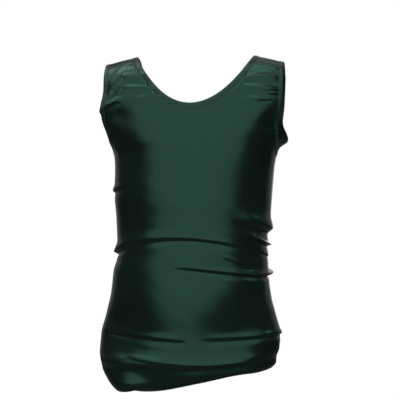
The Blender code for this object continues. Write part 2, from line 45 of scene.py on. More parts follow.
# Lengths are in millimetres and angles in degrees. A place on the cloth is its length along the cloth below
# the neck point, and its angle round the trunk: 0 at the front middle, 90 at the wearer's left side.
MM = 0.001
FRONT, BACK = -1, 1
RIGHT, LEFT = -1, 1
SECTION_COLUMNS = (
    "along", "drop", "half_width", "front", "back", "square", "sway", "right_lower", "left_lower",
)
SECTIONS = (
    (-30.0, 0.0, 147.0, 0.0, 0.0, 2.40, 2.0, 2.0, -2.0),
    (-16.0, 1.5, 147.0, 17.0, 18.0, 2.40, 2.0, 2.0, -2.0),
    (-1.0, 7.0, 147.0, 35.0, 37.0, 2.40, 2.0, 2.0, -2.0),
    (13.0, 16.0, 147.0, 48.0, 50.0, 2.40, 2.0, 2.0, -2.0),
    (28.0, 29.0, 145.5, 57.0, 60.0, 2.40, 2.0, 1.5, -1.5),
    (52.0, 52.0, 141.8, 64.0, 69.0, 2.38, 1.5, 0.5, -0.5),
    (70.0, 70.0, 138.0, 68.0, 74.0, 2.34, 1.0, 0.0, 0.0),
    (100.0, 100.0, 128.5, 73.5, 80.0, 2.22, 0.5, 0.0, 0.0),
    (118.0, 118.0, 121.0, 75.5, 81.5, 2.16, 0.5, 0.0, 0.0),
    (133.0, 133.0, 114.8, 76.5, 82.0, 2.12, 1.8, 0.0, 0.0),
    (155.0, 155.0, 111.9, 77.0, 81.0, 2.10, 0.8, 0.0, 0.0),
    (200.0, 200.0, 110.0, 77.0, 75.0, 2.06, -1.8, -5.0, 12.0),
    (228.0, 228.0, 107.0, 76.5, 71.5, 2.05, -2.4, -4.0, 22.0),
    (256.0, 256.0, 105.5, 76.5, 66.0, 2.04, -2.0, 17.0, 12.0),
    (297.0, 297.0, 109.2, 77.0, 69.0, 2.03, -4.2, 3.0, 9.0),
    (335.0, 335.0, 112.5, 78.0, 80.0, 2.02, -4.5, -5.0, -3.0),
    (370.0, 370.0, 119.5, 78.5, 90.0, 2.02, -4.5, -11.0, -10.0),
    (403.0, 403.0, 126.6, 78.5, 94.0, 2.04, -5.0, -14.0, -14.0),
    (420.0, 420.0, 126.5, 78.0, 93.0, 2.06, -6.5, -8.0, -16.0),
    (436.0, 436.0, 122.5, 77.0, 90.0, 2.10, -6.5, -1.0, -19.0),
    (446.0, 444.0, 118.0, 75.5, 86.0, 2.15, -3.0, 6.0, -17.0),
    (452.0, 449.5, 111.5, 72.0, 81.0, 2.20, -0.5, 10.0, -17.5),
)
SECTION = {name: np.array(values) for name, values in zip(SECTION_COLUMNS, zip(*SECTIONS))}
RIDGE = SECTIONS[0][0]
TURN = SECTIONS[-1][0]

# The shoulders slope: the strap's outer edge lies lower than the neck point.
NECK_POINT_HEIGHT = 5.65
SLOPE_HEIGHT = 10.95
SLOPE_DROP = 16.0
SLOPE_AT = 127.0
SLOPE_POWER = 2.6
SLOPE_FADES = (20.0, 130.0)

# The finished neck edge is a scoop, from the neck point down to the middle, on each side. It sits a little
# to the left.
NECK_HALF_WIDTH = 83.0
NECK_SHIFT = 1.6
NECK_DROP = {FRONT: 70.0, BACK: 98.0}
NECK_DOWN_POWER = {FRONT: 1.15, BACK: 1.30}
NECK_OUT_POWER = {FRONT: 2.0, BACK: 2.6}
STRAP_ENDS = {FRONT: 58.0, BACK: 88.0}
# How far the neck point lies further in, fading fast down the strap, and how far the edge leans in below it.
NECK_POINT_IN = {RIGHT: 3.0, LEFT: 0.0}
NECK_POINT_FADE = 8
NECK_LEAN = {(FRONT, RIGHT): 5.2}
NECK_LEAN_POWER = 0.6

# The finished armhole edge lies at this share of the ring's depth just below the shoulder, where it is widest,
# and rounds from there to the underarm.
ARMHOLE_SHARE = 0.63
ARMHOLE_SHARE_PER_MM = 0.0080
ARMHOLE_WIDEST = 2.0
ARMHOLE_BOTTOM = 133.0

# The underside: the cloth turns under the hips to two oval leg openings beside the crotch.
BOTTOM_DROP = 469.2
BOTTOM_RISE = 0.32
BOTTOM_RISE_FROM = -46.0
BOTTOM_RISE_SOFT = 12.0
UNDER_POWER = 6.0
UNDER_HOLLOW = 12.0
UNDER_HOLLOW_REACH = (0.40, 0.96)
LEG_MIDDLE = 57.0
LEG_BACKWARD = 6.0
LEG_HALF_WIDTH = 28.0
LEG_HALF_LENGTH = 44.0
CROTCH_SHIFT = 3.0
# Each leg opening's outer half takes the cloth from the side round to this angle on the turn.
LEG_FRONT_ANGLE = 40.0

# The largest folds. Each runs from one angle to another, and its groove passes three lengths along the cloth, at
# its start, middle and end. Its crest, just above, stands out by three amounts. Then come the groove's depth and
# the fold's height. A height below 0 turns the fold upside down: its steep side faces up, as on the straps.
FOLD_COLUMNS = (
    "start", "end", "along_start", "along_middle", "along_end", "out_start", "out_middle", "out_end", "groove",
    "height",
)
FOLDS = {
    "right rib crease": (-118, -50, 200, 196, 186, 0.5, 2.4, 0.5, 1.0, 13),
    "upper waist roll": (33, 150, 220, 225, 235, 0.6, 5.2, 1.0, 1.6, 18),
    "waist roll": (-118, 42, 269, 253.3, 261.5, 9.0, 2.0, 1.0, 1.8, 12),
    "left waist roll": (50, 128, 234, 251, 255, 0.8, 5.0, 1.6, 1.2, 12),
    "lower waist roll": (-10, 124, 292, 298, 292, 1.0, 3.0, 12.0, 1.8, 10),
    "right hip crease": (-74, 2, 395, 392, 392, 1.0, 1.4, 0.6, 1.8, 12),
    "left hip crease": (9, 118, 390, 398, 406, 0.6, 1.4, 3.2, 1.4, 12),
    "low fold": (-76, 56, 436, 430, 439, 1.4, 4.4, 3.0, 1.0, 20),
    "back waist roll": (140, 244, 254, 262, 258, 1.4, 3.0, 2.0, 1.8, 14),
    "back loin crease": (172, 262, 306, 300, 296, 0.8, 2.4, 1.6, 1.6, 12),
    "back hip crease": (128, 222, 408, 414, 410, 1.0, 2.0, 1.0, 2.0, 14),
    "left strap ripple 1": (22, 52, 33, 22, 20, 0.8, 1.5, 1.0, 0.4, -13),
    "left strap ripple 2": (22, 53, 43, 39, 38, 0.8, 1.5, 1.1, 0.4, -13),
    "right strap crease": (-49, -37, 46, 34, 22, 0.4, 0.6, 0.3, 1.7, 12),
    "right strap ripple 1": (-38, -16, 20, 23, 27, 0.5, 1.2, 0.7, 0.4, -12),
    "right strap ripple 2": (-38, -14, 38, 42, 47, 0.5, 1.2, 0.7, 0.4, -12),
    "right armhole crease": (-68, -38, 85, 70, 65, 1.7, 1.5, 0.4, 0.3, 12),
    "back left strap ripple": (126, 154, 14, 10, 12, 0.8, 1.3, 0.9, 0.9, 14),
    "back right strap ripple": (-154, -126, 22, 18, 16, 0.8, 1.3, 0.9, 0.9, 14),
}
# The share of a fold's run over which each end fades, and the length above the turn over which all of them do.
FOLD_SOFT_END = 0.16
FOLDS_FADE_OVER = 3.0
# Across a fold, as shares of its height: how far its crest lies above its groove, and how far each spreads.
CREST_ABOVE = 0.36
CREST_SPREAD = 0.42
CREST_SPREAD_BELOW = 0.20
GROOVE_SPREAD = 0.15
GROOVE_SPREAD_BELOW = 0.40

# Where the cloth stands off the body or sinks, without a crease: beside the armholes, in the groins, at the right
# hip and along the lower edge. Each place: angle, along, out, and its spread in each.
GAPE_COLUMNS = ("angle", "along", "out", "angle_spread", "along_spread")
GAPES = {
    "left underarm": (118, 111, 16.0, 22, 14),
    "right armhole": (-62, 82, 8.0, 15, 18),
    "right groin hollow": (-44, 396, -8.5, 25, 38),
    "left groin hollow": (34, 394, -8.5, 26, 44),
    "right hip fullness": (-52, 429, 4.2, 22, 20),
    "right low lobe": (-48, 451.6, 9.5, 21, 10),
    "right low dent": (-19, 449, -6.5, 16, 18),
    "left low tuck": (24, 458, -7.0, 28, 15),
    "right armhole fill": (-62, 61, 3.0, 15, 14),
    "right underarm hollow": (-53, 84, -4.6, 19, 15),
    "left underarm hollow": (59, 93, -3.3, 11, 15),
}

# The finest folds, with the same columns as FOLDS: short ripples on the straps and small creases beside the
# large ones, front and back.
FINE_FOLDS = {
    "right shoulder ripple": (-47, -27, 14, 3, -4, 0.5, 1.0, 0.5, 0.3, -7),
    "right strap ripple 3": (-29, -11, 60, 56, 62, 0.3, 0.9, 0.3, 0.3, -10),
    "right strap ripple 4": (-18, -7, 65, 66, 68, 0.3, 0.6, 0.3, 0.3, -5),
    "right strap ripple 5": (-53, -38, 63, 57, 52, 0.3, 0.9, 0.3, 0.3, -10),
    "right strap slant": (-46, -40, 64, 52, 40, 0.3, 0.5, 0.3, 0.2, -8),
    "left strap ripple 3": (25, 42, 59, 57, 55, 0.3, 1.0, 0.4, 0.3, -10),
    "left strap ripple 4": (27, 52, 10, 5, 6, 0.3, 0.9, 0.4, 0.2, -8),
    "left strap dimple 1": (43, 53, 26, 25, 24, 0.3, 0.5, 0.3, 0.6, 5),
    "left strap dimple 2": (45, 55, 45, 44, 43, 0.3, 0.5, 0.3, 0.6, 5),
    "left strap dimple 3": (45, 55, 52, 51, 50, 0.3, 0.5, 0.3, 0.5, 5),
    "left strap dimple 4": (38, 48, 64, 62, 60, 0.3, 0.6, 0.3, 0.5, 5),
    "small belly crease": (27, 45, 276, 280, 285, 0.3, 0.5, 0.3, 0.2, 7),
    "side waist crease": (62, 100, 262, 266, 270, 0.3, 0.9, 0.4, 0.6, 8),
    "low fold branch": (-42, 14, 420, 422, 428, 0.3, 1.4, 0.8, 0.6, 12),
    "back strap ripple 1": (128, 146, 32, 36, 38, 0.3, 0.8, 0.3, 0.3, -7),
    "back strap ripple 2": (-148, -128, 44, 40, 42, 0.3, 0.9, 0.3, 0.3, -7),
    "back strap ripple 3": (-150, -132, 66, 64, 68, 0.3, 0.7, 0.3, 0.3, -7),
    "back waist crease": (150, 188, 238, 241, 246, 0.4, 1.2, 0.4, 0.7, 9),
    "back waist branch": (206, 240, 276, 272, 270, 0.3, 1.0, 0.4, 0.7, 8),
    "back seat crease": (198, 232, 388, 391, 388, 0.4, 1.1, 0.4, 0.9, 10),
    "back side crease": (118, 150, 330, 334, 331, 0.3, 1.0, 0.4, 0.6, 9),
}

# The cloth between the folds is never quite even. Each slow wave: its height, how many times it goes round the
# trunk, its length along it, and where it starts.
SLACK = ((0.05, 4, 83.0, 0.4), (0.04, -7, 57.0, 2.1), (0.03, 12, -39.0, 4.4), (0.02, -19, 24.0, 1.2))

# The cloth's thickness, the gap between the panels at a seam, and how far each panel ends within a finished edge,
# where its band takes over.
CLOTH_WALL = 0.9
SEAM_GAP = 0.16
PANEL_INSET = 8.15
# The leg openings lie a little to the back, so the seams meet them this many degrees in front of their middle.
LEG_SEAM_TURN = math.degrees(math.asin(LEG_BACKWARD / (LEG_HALF_LENGTH + PANEL_INSET)))
# How deep the cloth sinks into a seam, and how far from the seam it starts to.
SEAM_SINK = 0.45
SEAM_SINK_WIDTH = 1.3
# The underside's cloth runs on from the turn to about this length at the crotch seam. Only the knit reads it.
UNDER_LENGTH = 60.0
# Grid of the visible cloth: columns of a strap and of the neck, and rows of each part.
STRAP_COLUMNS = 26
NECK_COLUMNS = 56
COLUMNS = 2 * STRAP_COLUMNS + NECK_COLUMNS
STRAP_ROWS = 90
ARMHOLE_ROWS = {FRONT: 76, BACK: 50}
BODY_ROWS = {FRONT: 250, BACK: 190}
UNDER_ROWS = 22
CROTCH_ROWS = 14
# How strongly the columns crowd towards the seams and the rows follow the armhole near it, and the length by
# which the columns stand as they do at the turn.
SEAM_CROWDING = 1.5
ARMHOLE_FOLLOWING = 6
COLUMNS_SETTLED_AT = 403.0
# Nearer to a seam than this counts as on it, and points nearer to each other than this are joined.
ON_SEAM = 1e-6
WELD_WITHIN = 0.02
# The samples that a length or a place is read from: along the cloth, along an edge, and round a ring.
ALONG_SAMPLES = 2000
EDGE_SAMPLES = 600
RING_CHORDS = 24


def ring(name, along):
    """One column of SECTIONS at lengths along the cloth: a cubic that never overshoots the rows."""
    places = SECTION["along"]
    values = SECTION[name]
    steps = np.diff(places)
    rises = np.diff(values) / steps
    slopes = np.zeros(len(values))
    slopes[0], slopes[-1] = rises[0], rises[-1]
    same_way = rises[:-1] * rises[1:] > 0
    both = rises[:-1] + rises[1:]
    slopes[1:-1] = np.where(same_way, 2 * rises[:-1] * rises[1:] / np.where(same_way, both, 1.0), 0.0)
    along = np.clip(along, places[0], places[-1])
    cell = np.clip(np.searchsorted(places, along, side="right") - 1, 0, len(steps) - 1)
    u = (along - places[cell]) / steps[cell]
    return (
        values[cell] * (1 + 2 * u) * (1 - u) ** 2
        + values[cell + 1] * u * u * (3 - 2 * u)
        + steps[cell] * u * (1 - u) * (slopes[cell] * (1 - u) - slopes[cell + 1] * u)
    )


def smooth_step(value, low, high):
    """0 below low, 1 above high, and an S curve between."""
    u = np.clip((value - low) / (high - low), 0.0, 1.0)
    return u * u * (3 - 2 * u)


def lower_by(along, across):
    """How much lower a ring is at a share of the way across it than at its middle: a tilt and a bow."""
    right, left = ring("right_lower", along), ring("left_lower", along)
    return (left - right) / 2 * across + (left + right) / 2 * across * across


def figure(side, along, angle):
    """Points of the plain figure: superellipse rings, the upper ones lying on the slope of the shoulders.

    Angle is the panel's own, from -90 at the right side to 90 at the left.
    """
    turn = np.radians(angle)
    power = 2.0 / ring("square", along)
    across = np.sin(turn)
    x = ring("sway", along) + ring("half_width", along) * np.sign(across) * np.abs(across) ** power
    depth = ring("front" if side == FRONT else "back", along)
    y = side * depth * np.abs(np.cos(turn)) ** power
    slope = SLOPE_HEIGHT - SLOPE_DROP * (np.abs(x) / SLOPE_AT) ** SLOPE_POWER
    flat = smooth_step(along, *SLOPE_FADES)
    height = slope * (1 - flat) + NECK_POINT_HEIGHT * flat
    z = height - ring("drop", along) - lower_by(along, across)
    return np.stack([x, y, z], axis=-1)


def outward(side, along, angle):
    """The figure's outward direction: across its steps along and round. On a seam it stays in the seam's plane."""
    step = 0.5
    low, high = np.maximum(along - step, RIDGE), np.minimum(along + step, TURN)
    down = figure(side, high, angle) - figure(side, low, angle)
    right, left = np.maximum(angle - step, -90.0), np.minimum(angle + step, 90.0)
    over = figure(side, along, left) - figure(side, along, right)
    out = np.cross(down, over) * -side
    on_seam = (np.abs(angle) > 90.0 - ON_SEAM) | (along < RIDGE + ON_SEAM)
    out[..., 1] = np.where(on_seam, 0.0, out[..., 1])
    return out / np.linalg.norm(out, axis=-1, keepdims=True)


def through(start, middle, end, share):
    """The parabola through three values, at shares 0, a half and 1."""
    late, twice = 1 - share, 2 * share
    return start * late * (1 - twice) + middle * 2 * twice * late + end * share * (twice - 1)


def fold_relief(row, along, around):
    """How far one fold moves the cloth out: a bell-shaped crest above a bell-shaped groove, faded at both ends."""
    fold = dict(zip(FOLD_COLUMNS, row))
    run = (around - fold["start"]) / (fold["end"] - fold["start"])
    share = np.clip(run, 0.0, 1.0)
    fade = smooth_step(run, 0.0, FOLD_SOFT_END) * (1 - smooth_step(run, 1 - FOLD_SOFT_END, 1.0))
    course = through(fold["along_start"], fold["along_middle"], fold["along_end"], share)
    out = through(fold["out_start"], fold["out_middle"], fold["out_end"], share)
    below = (along - course) / fold["height"]
    spread = np.where(below < -CREST_ABOVE, CREST_SPREAD, CREST_SPREAD_BELOW)
    crest = np.exp(-(((below + CREST_ABOVE) / spread) ** 2))
    spread = np.where(below < 0.0, GROOVE_SPREAD, GROOVE_SPREAD_BELOW)
    groove = np.exp(-((below / spread) ** 2))
    return fade * (np.maximum(out, 0.0) * crest - fold["groove"] * groove)


def relief(along, around):
    """How far the cloth lies out from the plain figure: all folds, which end at the turn, and the gapes."""
    total = np.zeros(np.broadcast(along, around).shape)
    loose = np.zeros_like(total)
    for whole_turn in (-360.0, 0.0, 360.0):
        for row in (*FOLDS.values(), *FINE_FOLDS.values()):
            total = total + fold_relief(row, along, around + whole_turn)
        for row in GAPES.values():
            gape = dict(zip(GAPE_COLUMNS, row))
            off = (around + whole_turn - gape["angle"]) / gape["angle_spread"]
            up = (along - gape["along"]) / gape["along_spread"]
            loose = loose + gape["out"] * np.exp(-off * off - up * up)
    for height, times, length, start in SLACK:
        total = total + height * np.sin(times * np.radians(around) + start + 2 * np.pi * along / length)
    return total * (1 - smooth_step(along, TURN - FOLDS_FADE_OVER, TURN)) + loose


def around_of(side, angle):
    """The angle round the whole trunk of a panel's own angle."""
    return angle if side == FRONT else np.where(angle < 0, -180.0 - angle, 180.0 - angle)


def on_cloth(side, along, angle):
    """Points of the cloth's outer face, the figure moved out by its relief, and its outward directions there."""
    along, angle = np.broadcast_arrays(np.asarray(along, float), np.asarray(angle, float))
    out = outward(side, along, angle)
    return figure(side, along, angle) + out * relief(along, around_of(side, angle))[..., None], out


def angle_at(x, along):
    """The panel angle at which the figure reaches x: its ring's formula solved for the angle."""
    share = np.clip(np.abs(x - ring("sway", along)) / ring("half_width", along), 0.0, 1.0)
    turn = np.degrees(np.arcsin(share ** (ring("square", along) / 2)))
    return np.sign(x - ring("sway", along)) * turn


def along_at(drop):
    """The length along the cloth at which it has dropped this far."""
    lengths = np.linspace(RIDGE, TURN, ALONG_SAMPLES)
    return np.interp(drop, ring("drop", lengths), lengths)


def neck_edge(side, hand, share, inset):
    """The neck edge, moved into the cloth by inset: a superellipse scoop that leans in by half a sine wave.

    Share is 0 at the neck point and 1 at the bottom. Given as along and angle.
    """
    drop = (NECK_DROP[side] + inset) * share
    out = (1 - share ** NECK_DOWN_POWER[side]) ** (1 / NECK_OUT_POWER[side])
    along = along_at(drop)
    down = np.clip(share, 0.0, 1.0)
    lean = NECK_POINT_IN[hand] * (1 - down) ** NECK_POINT_FADE
    lean = lean + NECK_LEAN.get((side, hand), 0.0) * np.sin(np.pi * down**NECK_LEAN_POWER)
    return along, angle_at(hand * ((NECK_HALF_WIDTH + inset) * out - lean) + NECK_SHIFT, along)


def neck_share(side, along, inset):
    """The share of the way down the neck edge, moved in by inset, that each length along the cloth has dropped."""
    return ring("drop", along) / (NECK_DROP[side] + inset)


def armhole_edge(side, hand, along, inset):
    """The armhole edge, moved into the cloth by inset, as an angle at each length along: a quarter of an oval."""
    share = ARMHOLE_SHARE + ARMHOLE_SHARE_PER_MM * inset
    low = (along - ARMHOLE_WIDEST) / (ARMHOLE_BOTTOM + inset - ARMHOLE_WIDEST)
    share = share * np.sqrt(1 - np.clip(low, 0.0, 1.0) ** 2)
    return hand * np.degrees(np.arccos(share ** (ring("square", along) / 2)))


def evenly(curve, start, stop, count):
    """Parameters that cut curve, a function of one parameter, into pieces of equal length."""
    dense = np.linspace(start, stop, EDGE_SAMPLES)
    steps = np.linalg.norm(np.diff(curve(dense), axis=0), axis=1)
    lengths = np.concatenate([[0.0], np.cumsum(steps)])
    return np.interp(np.linspace(0.0, lengths[-1], count + 1), lengths, dense)


def armhole_rows(side, start, inset, count):
    """Lengths along the cloth, from start to the underarm, evenly spaced on the armhole's edge."""

    def edge(along):
        return figure(side, along, armhole_edge(side, LEFT, along, inset))

    return evenly(edge, start, ARMHOLE_BOTTOM + inset, count)


def neck_shares(side, start, inset, count):
    """Shares of the neck edge, from a length along the cloth to the bottom middle, evenly spaced."""

    def edge(share):
        return figure(side, *neck_edge(side, LEFT, share, inset))

    return evenly(edge, neck_share(side, start, inset), 1.0, count)


def under_height(x, y):
    """The underside's height at a place in plan: a bowl that rises by a power of the share of the way out.

    It meets the ring where the cloth turns. Its floor rises to the left and is hollowed in the middle.
    """
    depth = np.where(y < 0, ring("front", TURN), ring("back", TURN))
    u = (x - ring("sway", TURN)) / ring("half_width", TURN)
    reach = np.maximum(np.hypot(u, y / depth), 1e-9)
    across = u / reach
    edge = NECK_POINT_HEIGHT - ring("drop", TURN) - lower_by(TURN, across)
    past = BOTTOM_RISE_SOFT * np.logaddexp(0.0, (x - BOTTOM_RISE_FROM) / BOTTOM_RISE_SOFT)
    middle = NECK_POINT_HEIGHT - BOTTOM_DROP + BOTTOM_RISE * past
    middle = middle + UNDER_HOLLOW * (1 - smooth_step(reach, *UNDER_HOLLOW_REACH))
    return middle + (edge - middle) * np.clip(reach, 0.0, 1.0) ** UNDER_POWER


def leg_oval(hand, turns, inset):
    """Plan places on a leg opening's oval, moved into the cloth by inset. Turn 0 is outermost, -90 its front."""
    turns = np.radians(turns)
    x = CROTCH_SHIFT + hand * (LEG_MIDDLE + (LEG_HALF_WIDTH + inset) * np.cos(turns))
    y = LEG_BACKWARD + (LEG_HALF_LENGTH + inset) * np.sin(turns)
    return x, y


def leg_turns(side):
    """Turns along the leg edge, front or back: its outer half, then its inner half to the crotch seam."""
    past, middle = LEG_SEAM_TURN, side * 90.0
    outer_half = -past + (middle + past) * strap_shares()
    return outer_half, np.linspace(middle, side * 180.0 + past, CROTCH_ROWS + 1)


def strap_shares():
    """Shares of the way across a strap, closest together at the armhole's side, where the seams lie."""
    return np.linspace(0.0, 1.0, STRAP_COLUMNS + 1) ** SEAM_CROWDING


def turn_shares():
    """Where the columns cross the turn, from -1 at the right side to 1 at the left."""
    leg = -90.0 + (90.0 - LEG_FRONT_ANGLE) * strap_shares()
    crotch = np.linspace(-LEG_FRONT_ANGLE, LEG_FRONT_ANGLE, NECK_COLUMNS + 1)[1:-1]
    return np.concatenate([leg, crotch, -leg[::-1]]) / 90.0


def body_grid(side):
    """Along and angle for every point from the straps' ends down to where the cloth turns under.

    Each row down to the underarm lies a share of the way from the top edge to it, and level ones follow. The
    columns keep their shares of the top edge first, and move to their shares of the turn by the hips.
    """
    inset = PANEL_INSET
    top = STRAP_ENDS[side]
    arm = armhole_edge(side, LEFT, np.array(top), inset)
    shares = neck_shares(side, top, inset, NECK_COLUMNS // 2)
    halves = []
    for hand in (RIGHT, LEFT):
        neck_along, neck_angle = neck_edge(side, hand, shares, inset)
        strap = hand * arm + (neck_angle[0] - hand * arm) * strap_shares()
        along = np.concatenate([np.full(STRAP_COLUMNS, top), neck_along])
        halves.append((along, np.concatenate([strap[:-1], neck_angle])))
    top_along, top_angle = (np.concatenate([right, left[-2::-1]]) for right, left in zip(*halves))

    edge_rows = armhole_rows(side, top, inset, ARMHOLE_ROWS[side])
    under_arm = edge_rows[-1]
    rows_down = np.concatenate([edge_rows, np.linspace(under_arm, TURN, BODY_ROWS[side] + 1)[1:]])
    low_shares = turn_shares()
    near_edge = np.abs(top_angle / arm) ** ARMHOLE_FOLLOWING
    along, angle = [], []
    for number, row in enumerate(rows_down):
        if row <= under_arm:
            step = number / ARMHOLE_ROWS[side]
            middle_row = top_along + (under_arm - top_along) * step
            edge_row = top_along + (under_arm - top_along) * (row - top) / (under_arm - top)
            line = middle_row + (edge_row - middle_row) * near_edge
            reach = armhole_edge(side, LEFT, row, inset)
        else:
            line = np.full(COLUMNS + 1, row)
            reach = 90.0
        spread = smooth_step(row, top, COLUMNS_SETTLED_AT)
        share = top_angle / arm + (low_shares - top_angle / arm) * spread
        along.append(line)
        angle.append(share * reach)
    return np.array(along), np.array(angle)


def strap_grid(side, hand):
    """Along and angle for one strap, from the shoulder seam to its end, and from its armhole edge to its neck."""
    inset = PANEL_INSET
    rows = np.linspace(RIDGE, STRAP_ENDS[side], STRAP_ROWS + 1)
    arm = armhole_edge(side, hand, rows, inset)
    neck = neck_edge(side, hand, neck_share(side, rows, inset), inset)[1]
    across = strap_shares()
    angle = arm[:, None] + (neck - arm)[:, None] * across
    return np.broadcast_to(rows[:, None], angle.shape), angle


def under_out(x, y):
    """The underside's outward direction at a place in plan. On the crotch seam it stays in that plane."""
    step = 0.5
    rise_x = (under_height(x + step, y) - under_height(x - step, y)) / (2 * step)
    rise_y = (under_height(x, y + step) - under_height(x, y - step)) / (2 * step)
    rise_y = np.where(np.abs(y) < ON_SEAM, 0.0, rise_y)
    out = np.stack([rise_x, rise_y, -np.ones_like(rise_x)], axis=-1)
    return out / np.linalg.norm(out, axis=-1, keepdims=True)


def on_underside(x, y):
    """Points of the underside's outer face at places in plan, and its outward directions there."""
    return np.stack([x, y, under_height(x, y)], axis=-1), under_out(x, y)


def under_grids(side, turn_row):
    """Grids of points and outward directions: the turn to the leg openings, then on to the crotch seam."""
    inset = PANEL_INSET
    outer, inner = leg_turns(side)
    right_x, right_y = leg_oval(RIGHT, outer, inset)
    left_x, left_y = leg_oval(LEFT, outer[::-1], inset)
    right_y[0] = left_y[-1] = 0.0
    across = np.linspace(0.0, 1.0, NECK_COLUMNS + 1)[1:-1]
    end_x = np.concatenate([right_x, right_x[-1] + (left_x[0] - right_x[-1]) * across, left_x])
    end_y = np.concatenate([right_y, np.full_like(across, right_y[-1]), left_y])
    steps = np.linspace(0.0, 1.0, UNDER_ROWS + 1)[:, None]
    x = turn_row[:, 0] + (end_x - turn_row[:, 0]) * steps
    y = turn_row[:, 1] + (end_y - turn_row[:, 1]) * steps
    under = on_underside(x, y)
    under[0][0] = turn_row

    right_x, right_y = leg_oval(RIGHT, inner, inset)
    left_x, left_y = leg_oval(LEFT, inner, inset)
    right_y[-1] = 0.0
    across = np.linspace(0.0, 1.0, NECK_COLUMNS + 1)
    crotch_x = right_x[:, None] + (left_x - right_x)[:, None] * across
    return under, on_underside(crotch_x, np.broadcast_to(right_y[:, None], crotch_x.shape))


def girth(side, along, angle):
    """How far round the panel a place lies from its middle: the figure's ring cut into short chords and summed."""
    steps = np.linspace(0.0, 1.0, RING_CHORDS + 1)
    ring_points = figure(side, along[..., None] + 0 * steps, angle[..., None] * steps)
    chords = np.linalg.norm(np.diff(ring_points, axis=-2), axis=-1).sum(axis=-1)
    return chords * np.sign(angle)


def grid_faces(rows, columns, first=0, round_rows=False, round_columns=False):
    """The four corner numbers of every face of a grid whose corners are numbered row by row from first."""
    row, column = np.meshgrid(
        np.arange(rows if round_rows else rows - 1),
        np.arange(columns if round_columns else columns - 1),
        indexing="ij",
    )
    below, beside = (row + 1) % rows, (column + 1) % columns
    corners = [row * columns + column, below * columns + column, below * columns + beside, row * columns + beside]
    return first + np.stack(corners, axis=-1).reshape(-1, 4)


def make_piece(name, points, faces, materials, places=None):
    """A mesh object in metres from points in millimetres. Places, if given, are kept as the attribute cloth_place."""
    data = bpy.data.meshes.new(name)
    data.from_pydata((points * MM).tolist(), [], faces.tolist())
    if places is not None:
        kept = data.attributes.new("cloth_place", "FLOAT_VECTOR", "POINT")
        kept.data.foreach_set("vector", np.ascontiguousarray(places, np.float32).ravel())
    for material in materials:
        data.materials.append(material)
    data.shade_smooth()
    piece = bpy.data.objects.new(name, data)
    bpy.context.scene.collection.objects.link(piece)
    return piece


def weld(piece):
    """Joins the grids of one piece where their edges share points."""
    work = bmesh.new()
    work.from_mesh(piece.data)
    bmesh.ops.remove_doubles(work, verts=work.verts, dist=WELD_WITHIN * MM)
    work.to_mesh(piece.data)
    work.free()


def seam_dip(points):
    """How far the cloth sinks into the seam beside the other panel: most at the seam, gone within 3 mm."""
    return SEAM_SINK * np.exp(-((points[..., 1] / SEAM_SINK_WIDTH) ** 2))


def cloth_panel(name, side):
    """A whole panel as one thin skin, on the same figure and folds as its solid, thickened inwards."""
    body_places = body_grid(side)
    right_places, left_places = strap_grid(side, RIGHT), strap_grid(side, LEFT)
    left_places = tuple(np.ascontiguousarray(part[:, ::-1]) for part in left_places)
    grids = []
    for along, angle in (body_places, right_places, left_places):
        points, out = on_cloth(side, along, angle)
        points = points - out * seam_dip(points)[..., None]
        grids.append((points, np.stack([girth(side, along, angle), along, 0 * along], axis=-1)))
    for points, out in under_grids(side, grids[0][0][-1]):
        across, to_seam = points[..., 0], np.abs(points[..., 1])
        points = points - out * seam_dip(points)[..., None]
        grids.append((points, np.stack([across, TURN + UNDER_LENGTH - to_seam, 0 * across], axis=-1)))
    faces, first = [], 0
    for points, _ in grids:
        faces.append(grid_faces(*points.shape[:2], first))
        first += points.shape[0] * points.shape[1]
    points = np.concatenate([points.reshape(-1, 3) for points, _ in grids]) + (0.0, side * SEAM_GAP / 2, 0.0)
    places = np.concatenate([places.reshape(-1, 3) for _, places in grids])
    faces = np.concatenate(faces)
    faces = faces[:, ::-1] if side == BACK else faces
    piece = make_piece(name, points, faces, (romper_satin, romper_inside), places)
    weld(piece)
    wall = piece.modifiers.new("cloth wall", "SOLIDIFY")
    wall.thickness = CLOTH_WALL * MM
    wall.offset = -1.0
    wall.material_offset = 1
    wall.material_offset_rim = 1
    return piece


# The knit's face: courses for each wale, the height of a loop against that of a wale, and the scale of the
# streaks and of the dye's mottle, across and along the cloth.
COURSES_PER_WALE = 1.5
LOOP_HEIGHT = 0.35
STREAK_SCALE = (0.45, 0.012, 1.0)
MOTTLE_SCALE = (0.035, 0.022, 1.0)
# What every knit here shares: how deep its wales are, how far the streaks change its colour and its roughness,
# the values that they and the mottle run between, and the pale sheen of its fibres.
WALE_DEPTH = 0.05
COLOUR_CHANGE = 0.10
ROUGHNESS_CHANGE = 0.03
STREAK_RANGE = (0.2, 0.8)
STREAK_AND_MOTTLE_RANGE = (0.7, 1.3)
SHEEN_ROUGHNESS = 0.18
SHEEN_TINT = (0.9, 0.95, 0.92, 1.0)


def joined(tree, first, second, operation):
    """Two values or sockets joined by one operation of a math node."""
    node = tree.nodes.new("ShaderNodeMath")
    node.operation = operation
    for socket, value in zip(node.inputs, (first, second)):
        if isinstance(value, (int, float)):
            socket.default_value = value
        elif value is not None:
            tree.links.new(value, socket)
    return node.outputs[0]


